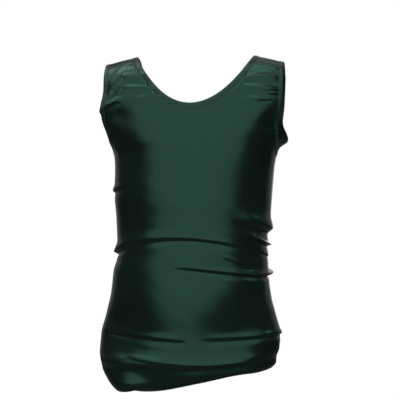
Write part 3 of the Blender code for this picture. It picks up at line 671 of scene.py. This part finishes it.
def knit_group():
    """The face of the satin knit: fine upright wales, faint upright streaks, and the slow mottle of the dye."""
    group = bpy.data.node_groups.new("satin knit face", "ShaderNodeTree")
    group.interface.new_socket("Place", in_out="INPUT", socket_type="NodeSocketVector")
    group.interface.new_socket("Wale mm", in_out="INPUT", socket_type="NodeSocketFloat")
    for name in ("Height", "Streak", "Mottle"):
        group.interface.new_socket(name, in_out="OUTPUT", socket_type="NodeSocketFloat")
    made, taken = group.nodes.new("NodeGroupInput"), group.nodes.new("NodeGroupOutput")
    parts = group.nodes.new("ShaderNodeSeparateXYZ")
    group.links.new(made.outputs["Place"], parts.inputs[0])

    def wave(place, times):
        """A sine of the place, which goes round this many times in the width of a wale."""
        turns = joined(group, place, made.outputs["Wale mm"], "DIVIDE")
        turns = joined(group, turns, times * 2 * math.pi, "MULTIPLY")
        return joined(group, turns, None, "SINE")

    def noise(scale, detail):
        """Soft noise over the cloth, drawn out by a scale for each direction."""
        stretch = group.nodes.new("ShaderNodeMapping")
        stretch.inputs["Scale"].default_value = scale
        group.links.new(made.outputs["Place"], stretch.inputs["Vector"])
        cloud = group.nodes.new("ShaderNodeTexNoise")
        cloud.inputs["Scale"].default_value = 1.0
        cloud.inputs["Detail"].default_value = detail
        group.links.new(stretch.outputs[0], cloud.inputs["Vector"])
        return cloud.outputs[0]

    loop = joined(group, wave(parts.outputs["Y"], COURSES_PER_WALE), LOOP_HEIGHT, "MULTIPLY")
    group.links.new(joined(group, wave(parts.outputs["X"], 1), loop, "ADD"), taken.inputs["Height"])
    group.links.new(noise(STREAK_SCALE, detail=3.0), taken.inputs["Streak"])
    group.links.new(noise(MOTTLE_SCALE, detail=2.0), taken.inputs["Mottle"])
    return group


knit_face = knit_group()


def satin_knit(name, base, tint, roughness, shine, sheen, wale_bump, wale=0.8):
    """Satin stretch knit: a dark dyed base, a green shine from inside the fibres, and a pale sheen at a glance."""
    made = bpy.data.materials.new(name)
    made.use_nodes = True
    tree = made.node_tree
    shader = tree.nodes["Principled BSDF"]
    place = tree.nodes.new("ShaderNodeAttribute")
    place.attribute_name = "cloth_place"
    face = tree.nodes.new("ShaderNodeGroup")
    face.node_tree = knit_face
    face.inputs["Wale mm"].default_value = wale
    tree.links.new(place.outputs["Vector"], face.inputs["Place"])

    def changed(value, value_range, middle, change):
        """A value that runs over value_range, moved to run from middle less change to middle plus change."""
        node = tree.nodes.new("ShaderNodeMapRange")
        limits = (*value_range, middle - change, middle + change)
        for socket, limit in zip(("From Min", "From Max", "To Min", "To Max"), limits):
            node.inputs[socket].default_value = limit
        tree.links.new(value, node.inputs["Value"])
        return node.outputs[0]

    worn = joined(tree, face.outputs["Streak"], face.outputs["Mottle"], "ADD")
    colour = tree.nodes.new("ShaderNodeVectorMath")
    colour.operation = "SCALE"
    colour.inputs[0].default_value = base
    tree.links.new(changed(worn, STREAK_AND_MOTTLE_RANGE, 1, COLOUR_CHANGE), colour.inputs["Scale"])
    tree.links.new(colour.outputs[0], shader.inputs["Base Color"])
    rough = changed(face.outputs["Streak"], STREAK_RANGE, roughness, ROUGHNESS_CHANGE)
    tree.links.new(rough, shader.inputs["Roughness"])
    bump = tree.nodes.new("ShaderNodeBump")
    bump.inputs["Strength"].default_value = wale_bump
    bump.inputs["Distance"].default_value = WALE_DEPTH * MM
    tree.links.new(face.outputs["Height"], bump.inputs["Height"])
    tree.links.new(bump.outputs[0], shader.inputs["Normal"])
    shader.inputs["Specular IOR Level"].default_value = shine
    shader.inputs["Specular Tint"].default_value = (*tint, 1.0)
    shader.inputs["Sheen Weight"].default_value = sheen
    shader.inputs["Sheen Roughness"].default_value = SHEEN_ROUGHNESS
    shader.inputs["Sheen Tint"].default_value = SHEEN_TINT
    return made


romper_satin = satin_knit(
    "romper_satin", base=(0.0070, 0.0125, 0.0095), tint=(0.34, 1.0, 0.77), roughness=0.22, shine=0.62, sheen=0.06,
    wale_bump=0.15,
)
romper_inside = satin_knit(
    "romper_inside", base=(0.0130, 0.0300, 0.0230), tint=(0.5, 1.0, 0.8), roughness=0.62, shine=0.25, sheen=0.25,
    wale_bump=0.5,
)

front = cloth_panel("front_panel_cloth", FRONT)
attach(front, "root")
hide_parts("front_panel")

# The back panel: one piece of the same satin stretch knit, cut like the front but with a lower scoop and a
# fuller seat, and sewn to it at the shoulders, sides and crotch.
back = cloth_panel("back_panel_cloth", BACK)
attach(back, "root")
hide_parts("back_panel")

# The neck band: a strip of the same knit folded over narrow elastic, sewn on and topstitched with a twin needle,
# so that it stands a little proud and puckers slightly. It runs all round the neck, over both shoulder seams.
NECK_BAND_STEPS = {FRONT: 110, BACK: 140}
# Across the band, from its free edge round its outer face and back along its inner one: how far in from the
# edge, and how far out from the cloth.
BAND_ROUND = (
    (0.00, -0.50), (0.10, -0.10), (0.38, 0.24), (0.90, 0.48), (1.60, 0.62), (2.60, 0.66), (3.70, 0.58),
    (4.60, 0.42), (5.30, 0.20), (5.90, 0.06), (6.90, 0.02), (7.70, 0.00), (8.05, -0.12), (8.15, -0.60),
    (8.40, -0.98), (9.60, -1.04), (9.50, -1.30), (7.40, -1.36), (5.60, -1.38), (3.60, -1.38), (1.60, -1.32),
    (0.50, -1.15), (0.10, -0.85),
)
# The pucker's height on the outer face, the height at which that face starts, and the share of the pucker that
# goes deeper. Each of its waves: weight, length, where it starts, and how far and over what length it drifts.
PUCKER = 0.12
OUTER_FACE_FROM = -0.1
PUCKER_BELOW = 0.25
PUCKER_WAVES = ((1.0, 4.6, 0.0, 1.3, 37.0), (0.6, 7.3, 0.8, 0.0, 1.0), (0.5, 2.9, 0.0, 2.1, 53.0))
# The twin-needle seam that holds the band down: its two rows, each so far in from the edge and out from the
# cloth. Along one stitch: the share of half its length, the share of its thickness, and how far out it lies.
STITCH_ROWS = ((6.15, 0.05), (7.25, 0.02))
STITCH_PITCH = 3.1
STITCH_LENGTH = 2.5
STITCH_SIDES = 6
THREAD_RADIUS = 0.17
STITCH_FORM = ((-1.0, 0.35, -0.14), (-0.75, 0.9, 0.02), (0.0, 1.0, 0.10), (0.75, 0.9, 0.02), (1.0, 0.35, -0.14))


def join_runs(front_run, back_run):
    """One closed run of points and outward directions, from the front's and the back's, which share both ends."""
    return tuple(np.concatenate([ahead, behind[-2:0:-1]]) for ahead, behind in zip(front_run, back_run))


def neck_ring(inset):
    """The neck edge all round, moved into the cloth by inset: the front, then the back."""
    runs = []
    for side in (FRONT, BACK):
        half = neck_shares(side, RIDGE, 0.0, NECK_BAND_STEPS[side])
        right = neck_edge(side, RIGHT, half, inset)
        left = neck_edge(side, LEFT, half[-2::-1], inset)
        runs.append(on_cloth(side, *(np.concatenate(pair) for pair in zip(right, left))))
    return join_runs(*runs)


def pucker(length):
    """The slight gather of an elastic edge at each length along it: three sines that never keep step."""
    total = 0.0 * length
    for weight, pitch, start, drift, drift_length in PUCKER_WAVES:
        drifting = drift * np.sin(length * 2 * np.pi / drift_length)
        total = total + weight * np.sin(length * 2 * np.pi / pitch + drifting + start)
    return total / sum(weight for weight, *_ in PUCKER_WAVES)


def run_length(points):
    """The length along a run of points at each of them."""
    return np.concatenate([[0.0], np.cumsum(np.linalg.norm(np.diff(points, axis=0), axis=1))])


def on_band(ring_at, inset, height):
    """A run along a band at this inset and height, moved with the pucker, and the cloth's outward directions."""
    wave = pucker(run_length(ring_at(0.0)[0])) * PUCKER
    points, out = ring_at(inset)
    moved = height + wave * (1.0 if height > OUTER_FACE_FROM else PUCKER_BELOW)
    return points + out * moved[:, None], out


def closed_piece(name, points, faces, material, places):
    """A piece of closed forms. Their faces are turned round if they enclose a volume below 0."""
    points = points.reshape(-1, 3)
    corners = points[faces]
    volume = np.einsum("ij,ij->i", corners[:, 0], np.cross(corners[:, 1], corners[:, 2])).sum()
    volume += np.einsum("ij,ij->i", corners[:, 0], np.cross(corners[:, 2], corners[:, 3])).sum()
    faces = faces if volume > 0 else faces[:, ::-1]
    return make_piece(name, points, faces, (material,), places.reshape(-1, 3))


def band_piece(name, ring_at):
    """A folded band: the round profile carried along the opening, with its outer face puckered."""
    length = run_length(ring_at(0.0)[0])
    sides, places = [], []
    for inset, height in BAND_ROUND:
        sides.append(on_band(ring_at, inset, height)[0])
        places.append(np.stack([np.full_like(length, inset), length, np.full_like(length, height)], axis=-1))
    points, places = np.array(sides), np.array(places)
    faces = grid_faces(*points.shape[:2], round_rows=True, round_columns=True)
    return closed_piece(name, points, faces, band_satin_painted_light, places)


def tube_faces(rings, sides):
    """The faces of one closed tube, with two four-cornered faces over each six-sided end."""
    caps = np.array([[0, 1, 2, 3], [0, 3, 4, 5]])
    last = (rings - 1) * sides
    return np.concatenate([grid_faces(rings, sides, round_columns=True), caps[:, ::-1], last + caps])


def stitches(name, ring_at):
    """Two rows of stitches along a band. Each is a short thread, thin and sunk at both ends where it goes in."""
    form = np.array(STITCH_FORM)
    rings = len(form)
    turns = np.arange(STITCH_SIDES) * 2 * np.pi / STITCH_SIDES
    tubes, places = [], []
    for inset, height in STITCH_ROWS:
        points, out = (np.concatenate([run, run[:1]]) for run in on_band(ring_at, inset, height))
        length = run_length(points)
        count = int(length[-1] / STITCH_PITCH)
        middles = (np.arange(count) + 0.5) * length[-1] / count
        at = middles[:, None] + form[:, 0] * STITCH_LENGTH / 2

        def read(values, at=at, length=length):
            """The values of the run, read off in a straight line between its points at every ring's length."""
            return np.stack([np.interp(at, length, values[:, axis]) for axis in range(3)], axis=-1)

        middle, up = read(points), read(out)
        run = np.gradient(middle, axis=1)
        side = np.cross(run, up)
        side /= np.linalg.norm(side, axis=-1, keepdims=True)
        thick = THREAD_RADIUS * form[:, 1][None, :, None, None]
        round_it = np.cos(turns)[:, None] * side[:, :, None] + np.sin(turns)[:, None] * up[:, :, None]
        tubes.append((middle + up * form[:, 2][:, None])[:, :, None] + round_it * thick)
        around = np.broadcast_to(turns * THREAD_RADIUS, (count, rings, STITCH_SIDES))
        run_on = np.broadcast_to(at[..., None], around.shape)
        places.append(np.stack([around + run_on, run_on, inset + 0 * around], axis=-1))
    points = np.concatenate([tube.reshape(-1, 3) for tube in tubes])
    places = np.concatenate([place.reshape(-1, 3) for place in places])
    firsts = np.arange(0, len(points), rings * STITCH_SIDES)
    faces = (tube_faces(rings, STITCH_SIDES) + firsts[:, None, None]).reshape(-1, 4)
    return closed_piece(name, points, faces, sewing_thread, places)


# The bands' satin: rougher than the panel's, with a lighter base colour that is partly the stretched knit's own
# lighter look and partly painted light, standing in for the light that the bands catch.
band_satin_painted_light = satin_knit(
    "band_satin_painted_light", base=(0.0115, 0.0205, 0.0160), tint=(0.40, 1.0, 0.78), roughness=0.36, shine=0.62, sheen=0.08,
    wale_bump=0.25,
)
sewing_thread = satin_knit(
    "sewing_thread", base=(0.0190, 0.0340, 0.0270), tint=(0.45, 1.0, 0.82), roughness=0.50, shine=0.45, sheen=0.20,
    wale_bump=0.50, wale=0.35,
)
neck_band = band_piece("neck_band_cloth", neck_ring)
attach(neck_band, "root")
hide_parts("neck_band")
neck_stitches = stitches("neck_band_stitches", neck_ring)
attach(neck_stitches, "root")

# The armhole bands: strips of the same knit over elastic, sewn on and topstitched like the neck band. Each runs
# down the strap's outer edge and round under the arm, over the shoulder seam and the side seam.
ARMHOLE_BAND_STEPS = 150
HANDS = (("right", RIGHT), ("left", LEFT))


def armhole_ring(hand):
    """The armhole edge all round, as a function of how far it is moved into the cloth."""

    def ring_at(inset):
        runs = []
        for side in (FRONT, BACK):
            rows = armhole_rows(side, RIDGE, 0.0, ARMHOLE_BAND_STEPS)
            low = (ARMHOLE_BOTTOM + inset - ARMHOLE_WIDEST) / (ARMHOLE_BOTTOM - ARMHOLE_WIDEST)
            rows = np.where(rows > ARMHOLE_WIDEST, ARMHOLE_WIDEST + (rows - ARMHOLE_WIDEST) * low, rows)
            runs.append(on_cloth(side, rows, armhole_edge(side, hand, rows, inset)))
        return join_runs(*runs)

    return ring_at


for word, hand in HANDS:
    armhole_band = band_piece(f"armhole_band_{word}_cloth", armhole_ring(hand))
    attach(armhole_band, "root")
    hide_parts(f"armhole_band_{word}")
    armhole_stitches = stitches(f"armhole_band_{word}_stitches", armhole_ring(hand))
    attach(armhole_stitches, "root")

# The leg bands: strips of the same knit over elastic, sewn on and topstitched like the neck band, round each
# brief-cut leg opening on the underside, over the side seam and the crotch seam.
LEG_BAND_STEPS = {FRONT: 100, BACK: 120}


def leg_ring(hand):
    """The leg edge all round, as a function of how far it is moved into the cloth."""

    def ring_at(inset):
        runs = []
        for side in (FRONT, BACK):
            turns = np.linspace(-LEG_SEAM_TURN, side * 180.0 + LEG_SEAM_TURN, LEG_BAND_STEPS[side] + 1)
            runs.append(on_underside(*leg_oval(hand, turns, inset)))
        return join_runs(*runs)

    return ring_at


for word, hand in HANDS:
    leg_band = band_piece(f"leg_band_{word}_cloth", leg_ring(hand))
    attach(leg_band, "root")
    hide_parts(f"leg_band_{word}")
    leg_stitches = stitches(f"leg_band_{word}_stitches", leg_ring(hand))
    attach(leg_stitches, "root")

# The seam allowances inside: both panels' raw edges, trimmed to a narrow strip, overlocked together and pressed
# to the back. They run down the sides, over the shoulders and across the crotch.

# Across the strip, over the seam and back on its inner face: how far it lies from the seam towards the back, and
# how far in from the cloth's outer face. The strip's length is taken on its middle line.
ALLOWANCE_ROUND = (
    (-0.70, 1.50), (0.80, 1.42), (2.20, 1.12), (3.80, 1.02), (5.40, 1.02), (6.40, 1.10),
    (6.40, 1.70), (5.40, 1.90), (3.80, 1.95), (2.20, 2.05), (0.80, 2.25), (-0.70, 2.10),
)
ALLOWANCE_MIDDLE = (3.0, 1.4)
# The overlock loops, which swell the strip's inner face alone: their pitch, their height, and the depth from
# which the strip counts as its inner face.
LOOP_PITCH = 2.4
LOOP_SWELL = 0.10
LOOPS_FROM_DEPTH = 1.5
ALLOWANCE_ROWS = {"side": 240, "under": 24, "shoulder": 60, "crotch": 48}
# How far a strip stays clear of a panel's edge, at the leg, shoulder and neck and across the crotch, and of the
# underarm and the turn. Beyond the turn it goes on at this share of the way to the leg band.
ALLOWANCE_CLEAR = 1.5
CROTCH_CLEAR = 2.5
UNDERARM_CLEAR = 4.0
TURN_CLEAR = 3.0
UNDER_START = 0.04
# A millimetre at the side seam takes this much more of the angle than one does on the whole panel.
SIDE_ANGLE_GAIN = 1.15


def over_seam(points, away):
    """The points, moved to the front panel's side of the seam where away is below 0."""
    return points * (1.0, math.copysign(1.0, away), 1.0)


def side_line(hand):
    """Places down one side seam and under to the leg band, at a distance from the seam and a depth in the cloth."""

    def at(away, depth):
        first = ARMHOLE_BOTTOM + PANEL_INSET + UNDERARM_CLEAR
        rows = np.linspace(first, TURN - TURN_CLEAR, ALLOWANCE_ROWS["side"])
        degrees_per_mm = 90.0 / np.abs(girth(BACK, rows, np.full_like(rows, 90.0))) * SIDE_ANGLE_GAIN
        points, out = on_cloth(BACK, rows, hand * (90.0 - abs(away) * degrees_per_mm))
        turn_x = figure(BACK, TURN, np.array(hand * 90.0))[0]
        leg_x = leg_oval(hand, 0.0, PANEL_INSET + ALLOWANCE_CLEAR)[0]
        x = turn_x + (leg_x - turn_x) * np.linspace(UNDER_START, 1.0, ALLOWANCE_ROWS["under"])
        under, under_outward = on_underside(x, np.full_like(x, abs(away)))
        return over_seam(np.concatenate([points - out * depth, under - under_outward * depth]), away)

    return at


def shoulder_line(hand):
    """Places along one shoulder seam, from the armhole band to the neck band, in the same terms."""

    def at(away, depth):
        rows = np.full(ALLOWANCE_ROWS["shoulder"], RIDGE + abs(away))
        inset = PANEL_INSET + ALLOWANCE_CLEAR
        arm = armhole_edge(BACK, hand, rows, inset)
        neck = neck_edge(BACK, hand, neck_share(BACK, rows, inset), inset)[1]
        points, out = on_cloth(BACK, rows, arm + (neck - arm) * np.linspace(0.0, 1.0, len(rows)))
        return over_seam(points - out * depth, away)

    return at


def crotch_line(away, depth):
    """Places across the crotch seam, from one leg band to the other, in the same terms."""
    reach = LEG_MIDDLE - LEG_HALF_WIDTH - PANEL_INSET - CROTCH_CLEAR
    x = CROTCH_SHIFT + np.linspace(-reach, reach, ALLOWANCE_ROWS["crotch"])
    points, out = on_underside(x, np.full_like(x, away))
    return points - out * depth


def allowance(name, line):
    """One strip along a seam, swollen by the overlock loops, and closed at both ends."""
    length = run_length(line(*ALLOWANCE_MIDDLE))
    loops = LOOP_SWELL * np.sin(length * 2 * np.pi / LOOP_PITCH)
    step = 0.1
    sides, places = [], []
    for away, depth in ALLOWANCE_ROUND:
        swell = loops if depth > LOOPS_FROM_DEPTH else 0.0 * loops
        near, deep = line(away, depth), line(away, depth + step)
        sides.append(near + (deep - near) * (swell / step)[:, None])
        places.append(np.stack([length + away, length - away, 0 * length], axis=-1))
    points, places = np.array(sides).swapaxes(0, 1), np.array(places).swapaxes(0, 1)
    rings, corners = points.shape[:2]
    faces = grid_faces(rings, corners, round_columns=True)
    across = np.arange(corners // 2 - 1)
    cap = np.stack([across, across + 1, corners - 2 - across, corners - 1 - across], axis=-1)
    faces = np.concatenate([faces, cap[:, ::-1], (rings - 1) * corners + cap])
    return closed_piece(name, points, faces, overlocked_edge, places)


overlocked_edge = satin_knit(
    "overlocked_edge", base=(0.0170, 0.0330, 0.0260), tint=(0.5, 1.0, 0.82), roughness=0.60, shine=0.30, sheen=0.30,
    wale_bump=0.90, wale=1.2,
)
for name, line in (
    ("side_seam_inside_right", side_line(RIGHT)),
    ("side_seam_inside_left", side_line(LEFT)),
    ("shoulder_seam_inside_right", shoulder_line(RIGHT)),
    ("shoulder_seam_inside_left", shoulder_line(LEFT)),
    ("crotch_seam_inside", crotch_line),
):
    strip = allowance(name, line)
    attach(strip, "root")

# The studio: a plain pale floor and backdrop, which the camera sees as white, and soft light from the front, the
# top, both sides and behind. Only the floor is an object, and it is one flat sheet, far wider than the view.
BACKDROP = (1.0, 1.0, 1.0, 1.0)
SKY_COLOUR = (0.86, 0.93, 1.0, 1.0)
SKY_STRENGTH = 0.06
FLOOR_COLOUR = (0.14, 0.14, 0.14, 1.0)
FLOOR_ROUGHNESS = 0.9
FLOOR_HEIGHT = -0.95
FLOOR_REACH = 8000.0


def white_to_camera(tree, shader, white):
    """Two shaders mixed by who looks: white for the camera's own rays, and the other for all the rest."""
    ray = tree.nodes.new("ShaderNodeLightPath")
    seen = tree.nodes.new("ShaderNodeMixShader")
    tree.links.new(ray.outputs["Is Camera Ray"], seen.inputs[0])
    tree.links.new(shader.outputs[0], seen.inputs[1])
    tree.links.new(white.outputs[0], seen.inputs[2])
    return seen.outputs[0]


world = bpy.data.worlds.new("studio")
bpy.context.scene.world = world
world.use_nodes = True
tree = world.node_tree
sky = tree.nodes["Background"]
sky.inputs["Color"].default_value = SKY_COLOUR
sky.inputs["Strength"].default_value = SKY_STRENGTH
white = tree.nodes.new("ShaderNodeBackground")
white.inputs["Color"].default_value = BACKDROP
tree.links.new(white_to_camera(tree, sky, white), tree.nodes["World Output"].inputs[0])

floor_paint = bpy.data.materials.new("floor_paint")
floor_paint.use_nodes = True
tree = floor_paint.node_tree
paint = tree.nodes["Principled BSDF"]
paint.inputs["Base Color"].default_value = FLOOR_COLOUR
paint.inputs["Roughness"].default_value = FLOOR_ROUGHNESS
white = tree.nodes.new("ShaderNodeEmission")
white.inputs["Color"].default_value = BACKDROP
turned = tree.nodes.new("ShaderNodeNewGeometry")
clear = tree.nodes.new("ShaderNodeBsdfTransparent")
one_sided = tree.nodes.new("ShaderNodeMixShader")
tree.links.new(turned.outputs["Backfacing"], one_sided.inputs[0])
tree.links.new(white_to_camera(tree, paint, white), one_sided.inputs[1])
tree.links.new(clear.outputs[0], one_sided.inputs[2])
tree.links.new(one_sided.outputs[0], tree.nodes["Material Output"].inputs[0])
floor_points = np.array([[-1, -1, 0], [1, -1, 0], [1, 1, 0], [-1, 1, 0]], float) * FLOOR_REACH
floor = make_piece("floor", floor_points + (0.0, 0.0, FLOOR_HEIGHT / MM), np.array([[0, 1, 2, 3]]), (floor_paint,))

# Each light: where it stands, where it points, its width and height, all in metres, and its power in watts.
LIGHTS = {
    "front_soft_light": ((0.04, -1.55, 0.53), (0.0, 0.0, -0.20), (4.8, 3.1), 34.0),
    "high_soft_light": ((-0.10, -0.32, 1.50), (0.0, 0.0, -0.10), (3.2, 0.8), 11.0),
    "top_soft_light": ((0.0, 0.75, 1.50), (0.0, 0.0, -0.05), (2.4, 1.2), 4.0),
    "right_side_light": ((-1.20, -0.15, 1.05), (0.0, 0.0, -0.05), (1.9, 1.1), 5.5),
    "left_side_light": ((1.50, -0.05, 0.38), (0.0, 0.0, -0.05), (0.7, 0.40), 0.7),
    "right_back_light": ((-1.20, 1.90, 0.25), (0.0, 0.0, -0.20), (2.4, 2.0), 2.2),
    "back_soft_light": ((0.0, 2.30, 0.15), (0.0, 0.0, -0.20), (1.6, 2.1), 8.0),
    "left_back_light": ((1.20, 1.90, 0.25), (0.0, 0.0, -0.20), (2.4, 2.0), 2.2),
}
for name, (place, aim, size, power) in LIGHTS.items():
    lamp = bpy.data.lights.new(name, "AREA")
    lamp.shape = "ELLIPSE"
    lamp.size, lamp.size_y = size
    lamp.energy = power
    lamp_object = bpy.data.objects.new(name, lamp)
    lamp_object.location = place
    aim_at = mathutils.Vector(aim) - mathutils.Vector(place)
    lamp_object.rotation_euler = aim_at.to_track_quat("-Z", "Y").to_euler()
    lamp_object.visible_camera = False
    bpy.context.scene.collection.objects.link(lamp_object)

# The camera: degrees round to the wearer's left and up, how far away it is and where it looks, and how wide the
# photo is there, all in metres.
CAMERA_TURN, CAMERA_RISE, CAMERA_AWAY = 6.0, 1.0, 2.0
CAMERA_AIM = (0.0084, 0.0, -0.1946)
PHOTO_WIDTH_AT_AIM = 0.56
camera_data = bpy.data.cameras.new("camera")
camera_data.lens = camera_data.sensor_width * CAMERA_AWAY / PHOTO_WIDTH_AT_AIM
camera = bpy.data.objects.new("camera", camera_data)
turn, rise = math.radians(CAMERA_TURN), math.radians(CAMERA_RISE)
towards = mathutils.Vector((math.sin(turn) * math.cos(rise), -math.cos(turn) * math.cos(rise), math.sin(rise)))
camera.location = mathutils.Vector(CAMERA_AIM) + towards * CAMERA_AWAY
camera.rotation_euler = (-towards).to_track_quat("-Z", "Y").to_euler()
bpy.context.scene.collection.objects.link(camera)
bpy.context.scene.camera = camera
bpy.context.scene.view_settings.view_transform = "Standard"
